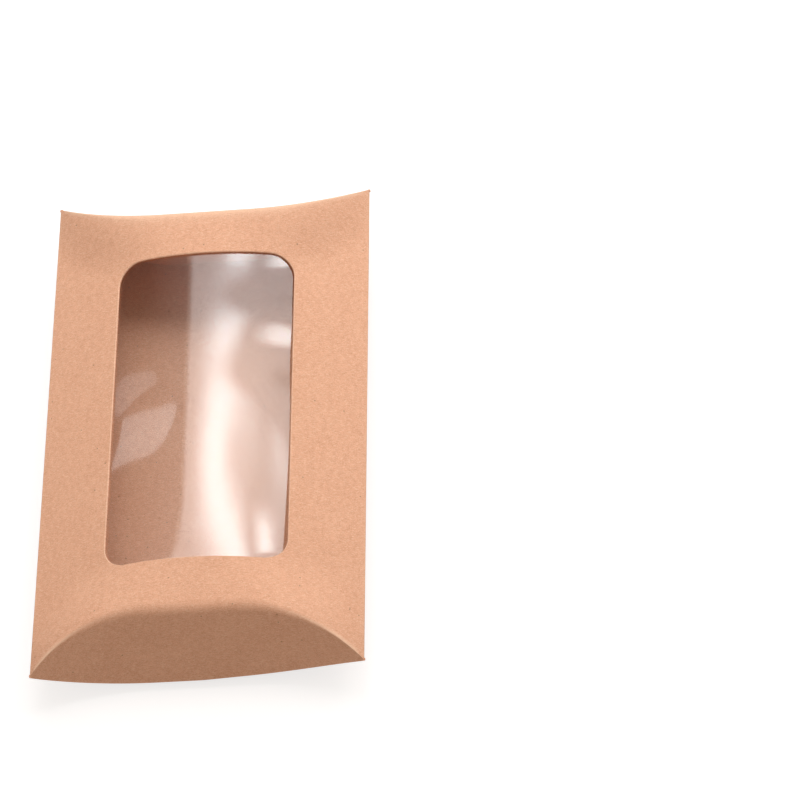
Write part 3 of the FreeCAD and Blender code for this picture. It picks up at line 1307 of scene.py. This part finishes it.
@dataclass(frozen=True)
class GreyCloth:
    """A grey cloth beside the lights, which the film's left side mirrors instead of the bright room."""

    across: float = -0.56
    up: float = 0.015
    width: float = 0.676
    height: float = 0.57
    place: tuple[float, float, float] = LIGHT_WALL
    tone: float = 0.42

    def build(self) -> bpy.types.Object:
        """Make the cloth.

        Returns:
            The cloth.
        """
        mesh = bmesh.new()
        bmesh.ops.create_grid(mesh, x_segments=1, y_segments=1, size=UNIT_HALF)
        bmesh.ops.scale(mesh, vec=(self.width, self.height, 1.0), verts=mesh.verts[:])
        bmesh.ops.translate(mesh, vec=(self.across, self.up, 0.0), verts=mesh.verts[:])
        hang(mesh, self.place, (0.0, 0.0, 0.0))
        material, graph = new_material("grey_cloth")
        matte = {"Color": (self.tone, self.tone, self.tone, 1.0)}
        graph.surface(graph.add("ShaderNodeBsdfDiffuse", {}, matte))
        cloth = make_object("grey_cloth", mesh, material)
        return cloth


@dataclass(frozen=True)
class SoftBox:
    """A lit sheer cloth that faces the box; it fades towards its rims, or is cut to an outline."""

    name: str
    strength: float
    across: float = 0.0
    up: float = 0.0
    off: float = 0.0
    width: float = 1.0
    height: float = 1.0
    fade_across: float = 0.5
    fade_up: float = 0.5
    wall: tuple[float, float, float] = LIGHT_WALL
    aim: tuple[float, float, float] = (0.0, 0.0, 0.0)
    outline: Outline = ()
    tint: tuple[float, float, float] = (1.0, 1.0, 1.0)

    def build(self) -> bpy.types.Object:
        """Make the panel, which faces the box.

        Returns:
            The panel.
        """
        mesh = bmesh.new()
        layer = mesh.loops.layers.uv.new(FLAT_MAP)
        if self.outline:
            mesh.faces.new([mesh.verts.new((x * MM, y * MM, 0.0)) for x, y in self.outline])
        else:
            bmesh.ops.create_grid(mesh, x_segments=1, y_segments=1, size=UNIT_HALF)
            for face in mesh.faces:
                for loop in face.loops:
                    loop[layer].uv = loop.vert.co.xy
        bmesh.ops.scale(mesh, vec=(self.width, self.height, 1.0), verts=mesh.verts[:])
        bmesh.ops.translate(mesh, vec=(self.across, self.up, self.off), verts=mesh.verts[:])
        hang(mesh, self.wall, self.aim)
        panel = make_object(self.name, mesh, self.material())
        return panel

    def material(self) -> bpy.types.Material:
        """Make the glow of the cloth.

        Returns:
            The material.
        """
        material, graph = new_material(self.name)
        place = graph.add("ShaderNodeUVMap", {"uv_map": FLAT_MAP})
        axes = graph.add("ShaderNodeSeparateXYZ", {}, {"Vector": place})
        glow = self.fade(graph, axes, "X", self.fade_across) * self.fade(graph, axes, "Y", self.fade_up)
        facing = 1 - graph.add("ShaderNodeNewGeometry", {}, {}, "Backfacing")
        inputs = {"Color": graph.scaled(self.tint, glow * facing), "Strength": self.strength}
        light = graph.add("ShaderNodeEmission", {}, inputs)
        sheer = graph.add("ShaderNodeBsdfTransparent", {}, {"Color": (1.0, 1.0, 1.0, 1.0)})
        graph.surface(graph.add("ShaderNodeAddShader", {}, {0: light, 1: sheer}))
        return material

    def fade(self, graph: Graph, axes: Shade, axis: str, feather: float) -> Shade:
        """Fall of the light towards two opposite rims.

        Args:
            graph: Graph to add to.
            axes: Place on the panel.
            axis: The direction across those rims.
            feather: Share of the panel in which the light falls.

        Returns:
            1 in the middle and 0 at the rims.
        """
        at = Shade(graph, axes.socket.node.outputs[axis])
        away = graph.add("ShaderNodeMath", {"operation": "ABSOLUTE"}, {0: at})
        return 1 - away.rise(UNIT_HALF * (1 - feather), UNIT_HALF)


# outlines in millimetres, where a point given twice keeps its corner sharp
LONG_LEAF: Outline = (
    (-13, -26),
    (-13, -26),
    (8, 5),
    (25, 23),
    (28, 28),
    (12, 24),
    (-6, 8),
    (-32, -33),
    (-32, -33),
    (-20, -26),
)
FAINT_LEAF: Outline = ((-8, -40), (5, -18), (15, -4), (18, 6), (2, -12), (-13, -28), (-18, -38))
LEAF_PLACE = (-0.0764, 0.0567, 0.1011)
LEAF_AIM = (-0.012, -0.004, 0.0201)
CORNER_CUT = 0.25


def between(first: Sequence[float], second: Sequence[float], part: float) -> tuple[float, float]:
    """Point at a share of the way from one point to another."""
    return first[0] + (second[0] - first[0]) * part, first[1] + (second[1] - first[1]) * part


def rounded(outline: Outline, passes: int = 2) -> Outline:
    """Cut the corners of an outline until it is round.

    Args:
        outline: Its corners.
        passes: How often each corner is cut.

    Returns:
        The rounder outline.
    """
    for _ in range(passes):
        pairs = zip(outline, outline[1:] + outline[:1])
        parts = (CORNER_CUT, 1 - CORNER_CUT)
        outline = tuple(between(a, b, part) for a, b in pairs for part in parts)
    return outline


def leaf_card(name: str, strength: float, outline: Outline) -> SoftBox:
    """Small lit card near the box, which the film mirrors at its left side.

    Args:
        name: The card's name.
        strength: Its glow.
        outline: Its corners, in millimetres.

    Returns:
        The card.
    """
    return SoftBox(name, strength, wall=LEAF_PLACE, aim=LEAF_AIM, outline=rounded(outline))


@dataclass(frozen=True)
class Studio:
    """Pale floor, soft light and the camera."""

    floor_half: float = 4.0
    floor_drop: float = 0.2 * MM
    floor_tone: float = 0.45
    floor_lift: float = 0.72
    fill: float = 0.47
    fill_tint: tuple[float, float, float] = (1.04, 0.89, 0.765)
    camera_place: tuple[float, float, float] = (0.1289, -0.4041, 0.6778)
    camera_aim: tuple[float, float, float] = (-0.1070, 0.5186, -0.8483)
    camera_right: tuple[float, float, float] = (0.9925, 0.0047, -0.1224)
    focal: float = 155.1
    sensor: float = 36.0
    near_clip: float = 0.01
    cloth: GreyCloth = GreyCloth()
    boxes: tuple[SoftBox, ...] = (
        SoftBox("key_panel", 1.2, across=0.326, up=0.036, width=1.08, height=0.66, fade_across=0.07),
        SoftBox(
            "glow_panel", 0.54, across=0.166, up=0.036, off=0.003, width=1.6, height=0.66, fade_across=1.0
        ),
        SoftBox(
            "streak_panel",
            3.4,
            across=0.049,
            up=0.152,
            off=0.006,
            width=0.454,
            height=0.42,
            fade_across=0.95,
            fade_up=0.4,
            tint=(0.94, 1.0, 1.03),
        ),
        SoftBox(
            "edge_panel",
            3.6,
            across=0.482,
            up=0.186,
            off=0.009,
            width=0.513,
            height=0.36,
            fade_across=0.9,
            fade_up=0.4,
        ),
        SoftBox("end_panel", 3.2, width=0.4, height=0.25, wall=(0.0, 0.45, 0.22)),
        leaf_card("long_leaf", 0.94, LONG_LEAF),
        leaf_card("faint_leaf", 0.52, FAINT_LEAF),
    )

    def build(self) -> None:
        """Make the stage, the lights and the camera."""
        bpy.context.scene.view_settings.view_transform = "Standard"
        for box in self.boxes:
            box.build()
        self.cloth.build()
        self.floor()
        self.world()
        self.camera()

    def seen(self, graph: Graph) -> Shade:
        """1 for what the camera sees directly, in gloss or through clear film.

        Args:
            graph: Graph to add to.

        Returns:
            The mask.
        """
        path = graph.add("ShaderNodeLightPath", {}, {}, "Is Camera Ray")
        outputs = path.socket.node.outputs
        glossy = Shade(graph, outputs["Is Glossy Ray"])
        return path.larger(glossy).larger(Shade(graph, outputs["Is Transmission Ray"]))

    def floor(self) -> None:
        """Make the pale floor, which keeps the shadow."""
        mesh = bmesh.new()
        bmesh.ops.create_grid(mesh, x_segments=1, y_segments=1, size=self.floor_half)
        bmesh.ops.translate(mesh, vec=(0.0, 0.0, -self.floor_drop), verts=mesh.verts[:])
        material, graph = new_material("pale_floor")
        tone = (self.floor_tone,) * 3 + (1.0,)
        matte = graph.add("ShaderNodeBsdfDiffuse", {}, {"Color": tone})
        glow = {"Color": graph.scaled((1.0, 1.0, 1.0), self.seen(graph)), "Strength": self.floor_lift}
        lift = graph.add("ShaderNodeEmission", {}, glow)
        graph.surface(graph.add("ShaderNodeAddShader", {}, {0: matte, 1: lift}))
        make_object("floor", mesh, material)

    def world(self) -> None:
        """Make the soft light from all round."""
        world = bpy.data.worlds.new("studio")
        world.use_nodes = True
        bpy.context.scene.world = world
        graph = Graph(world.node_tree)
        path = graph.add("ShaderNodeLightPath", {}, {}, "Is Camera Ray")
        fill = tuple(self.fill * share for share in self.fill_tint) + (1.0,)
        colour = graph.mixed(path, fill, (1.0, 1.0, 1.0, 1.0))
        graph.add_output("ShaderNodeOutputWorld", graph.add("ShaderNodeBackground", {}, {"Color": colour}))

    def camera(self) -> None:
        """Make the camera at the photograph's viewing angle."""
        data = bpy.data.cameras.new("camera")
        data.lens = self.focal
        data.sensor_width = self.sensor
        data.clip_start = self.near_clip
        camera = bpy.data.objects.new("camera", data)
        bpy.context.scene.collection.objects.link(camera)
        camera.location = self.camera_place
        camera.rotation_mode = "QUATERNION"
        camera.rotation_quaternion = self.camera_turn()
        bpy.context.scene.camera = camera

    def camera_turn(self) -> Quaternion:
        """Turn of the camera, from its aim and from its roll about it.

        Returns:
            The turn.
        """
        aim = Vector(self.camera_aim).normalized()
        level = aim.to_track_quat("-Z", "Y")
        right = level @ Vector((1.0, 0.0, 0.0))
        roll = right.angle(Vector(self.camera_right))
        if right.cross(Vector(self.camera_right)).dot(aim) < 0:
            roll = -roll
        return Quaternion(aim, roll) @ level


def main() -> None:
    """Build and dress every piece, then set the stage."""
    logging.basicConfig(level=logging.INFO, format="%(name)s: %(message)s")
    card = KraftCard().material()
    glue = DriedGlue().material()
    box = CardBox(card)
    pieces = box.build()
    pieces += Seam(box.back, card, glue).build()
    pieces += WindowFilm(box.front, ClearFilm().material(), glue).build()
    for piece in pieces:
        log.info("%s has %d faces", piece.name, len(piece.data.polygons))
    Studio().build()


if __name__ == "__main__":
    main()
